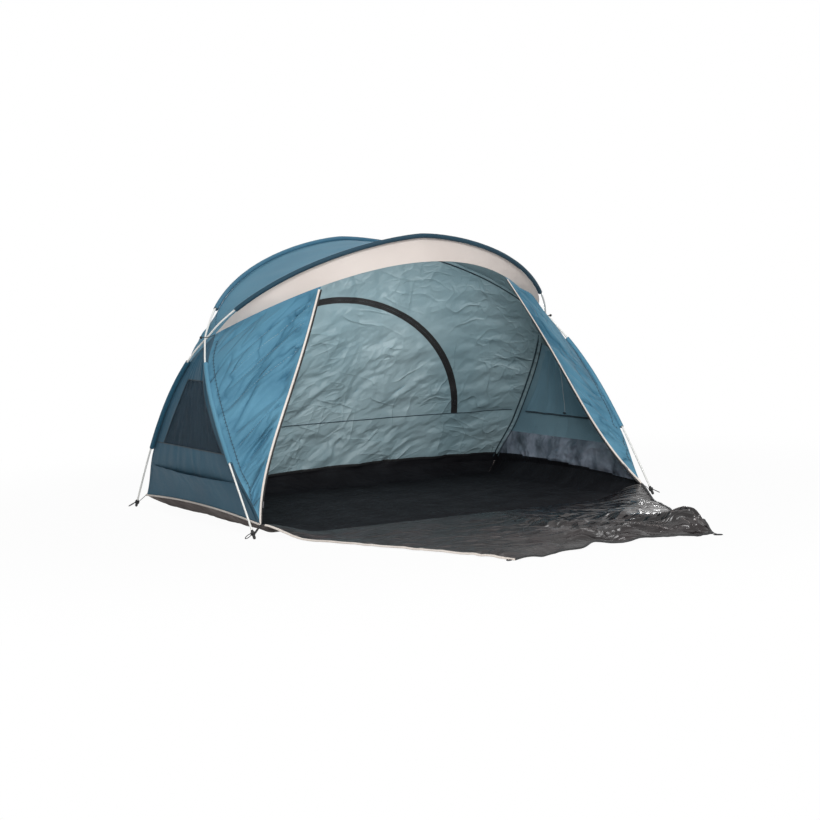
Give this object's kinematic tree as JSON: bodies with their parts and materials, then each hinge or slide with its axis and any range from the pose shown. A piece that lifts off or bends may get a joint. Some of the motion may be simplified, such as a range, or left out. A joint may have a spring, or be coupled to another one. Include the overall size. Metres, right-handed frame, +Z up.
{
  "type": "beach tent",
  "caption": "Low open-fronted beach shelter on two crossed sprung poles, with a visor, netted side windows, a half-round zipped rear door and a front door laid out as a porch floor",
  "frame": {"origin": "on the ground under the middle of the groundsheet", "axes": "+Z up, +X to the right of someone who looks in from the front, -Y out of the doorway"},
  "size_m": [2.0812, 2.6421, 1.243],
  "materials": {
    "shell": "coated polyester taffeta, teal blue outside and silver grey inside",
    "sleeve": "dark teal polyester pole sleeve",
    "visor": "off-white polyester",
    "inner": "grey teal coated polyester",
    "sheet": "glossy black woven polyethylene sheet",
    "net": "black insect netting",
    "rod": "off-white fibreglass rod",
    "trim": "black webbing, elastic and zip tape",
    "metal": "dark nickel zip hardware"
  },
  "bodies": {
    "root": {"roof_panel": "shell", "rear_wall": "shell", "front_panel_left": "shell", "side_wall_left": "shell", "sand_pocket_left": "shell", "front_panel_right": "shell", "side_wall_right": "shell", "sand_pocket_right": "shell", "front_roof_sleeve": "sleeve", "rear_roof_sleeve": "sleeve", "front_leg_sleeve_left": "sleeve", "front_leg_sleeve_right": "sleeve", "back_leg_sleeve_left": "sleeve", "back_leg_sleeve_right": "sleeve", "visor": "visor", "window_net_left": "net", "window_net_right": "net", "groundsheet": "sheet", "rear_arch_pole_section_1": "rod", "rear_arch_pole_section_2": "rod", "rear_arch_pole_section_3": "rod", "rear_arch_pole_section_4": "rod", "rear_arch_pole_section_5": "rod", "rear_arch_pole_section_6": "rod", "front_arch_pole_section_1": "rod", "front_arch_pole_section_2": "rod", "front_arch_pole_section_3": "rod", "front_arch_pole_section_4": "rod", "front_arch_pole_section_5": "rod", "front_arch_pole_section_6": "rod", "pole_tip_front_left": "rod", "pole_tip_front_right": "rod", "pole_tip_back_left": "rod", "pole_tip_back_right": "rod", "corner_strap_front_left": "trim", "corner_strap_front_right": "trim", "corner_strap_back_left": "trim", "corner_strap_back_right": "trim", "crossing_tie_left": "trim", "crossing_ball_left": "trim", "front_zip_left": "trim", "crossing_tie_right": "trim", "crossing_ball_right": "trim", "front_zip_right": "trim", "rear_door_zip": "trim"},
    "porch": {"porch_apron": "sheet", "apron_peg_loop_left": "trim", "apron_peg_loop_right": "trim"},
    "rear_door": {"rear_door": "shell"},
    "window_cover_left": {"window_cover_left": "inner", "window_tie_left": "trim"},
    "window_cover_right": {"window_cover_right": "inner", "window_tie_right": "trim"},
    "zip_slider_left": {"zip_slider_left": "metal"},
    "zip_pull_left": {"zip_pull_left": "metal"},
    "zip_slider_right": {"zip_slider_right": "metal"},
    "zip_pull_right": {"zip_pull_right": "metal"},
    "zip_slider_rear": {"zip_slider_rear": "metal"},
    "zip_pull_rear": {"zip_pull_rear": "metal"}
  },
  "joints": [
    {"name": "porch_hinge", "type": "hinge", "parent": "root", "child": "porch", "pos_m": [0, -0.6839, 0.0005], "axis": [-1, 0, 0], "range_deg": [0, 95]},
    {"name": "rear_door_hinge", "type": "hinge", "parent": "root", "child": "rear_door", "pos_m": [0, 0.63545, 0.33], "axis": [-1, 0, 0], "range_deg": [0, 115]},
    {"name": "window_cover_left_hinge", "type": "hinge", "parent": "root", "child": "window_cover_left", "pos_m": [-0.94102, -0.00156, 0.65273], "axis": [0, -1, 0], "range_deg": [0, 70]},
    {"name": "window_cover_right_hinge", "type": "hinge", "parent": "root", "child": "window_cover_right", "pos_m": [0.94102, -0.00156, 0.65273], "axis": [0, 1, 0], "range_deg": [0, 70]},
    {"name": "front_zip_left_slide", "type": "slide", "parent": "root", "child": "zip_slider_left", "axis": [0.4241, 0.2544, 0.8692], "range_m": [0, 0.953]},
    {"name": "front_zip_right_slide", "type": "slide", "parent": "root", "child": "zip_slider_right", "axis": [-0.4241, 0.2544, 0.8692], "range_m": [0, 0.953]},
    {"name": "rear_zip_track", "type": "hinge", "parent": "root", "child": "zip_slider_rear", "pos_m": [0, 0.55665, 0.32226], "axis": [0, -0.9283, -0.3717], "range_deg": [0, 169]},
    {"name": "zip_pull_left_hinge", "type": "hinge", "parent": "zip_slider_left", "child": "zip_pull_left", "pos_m": [-0.91771, -0.61807, 0.12317], "axis": [0.9103, -0.0556, -0.4101], "range_deg": [0, 90]},
    {"name": "zip_pull_right_hinge", "type": "hinge", "parent": "zip_slider_right", "child": "zip_pull_right", "pos_m": [0.91771, -0.61807, 0.12317], "axis": [0.9103, 0.0556, 0.4101], "range_deg": [0, 90]},
    {"name": "zip_pull_rear_hinge", "type": "hinge", "parent": "zip_slider_rear", "child": "zip_pull_rear", "pos_m": [0.65673, 0.5318, 0.37669], "axis": [0.9675, -0.2447, 0.0638], "range_deg": [0, 90]}
  ]
}
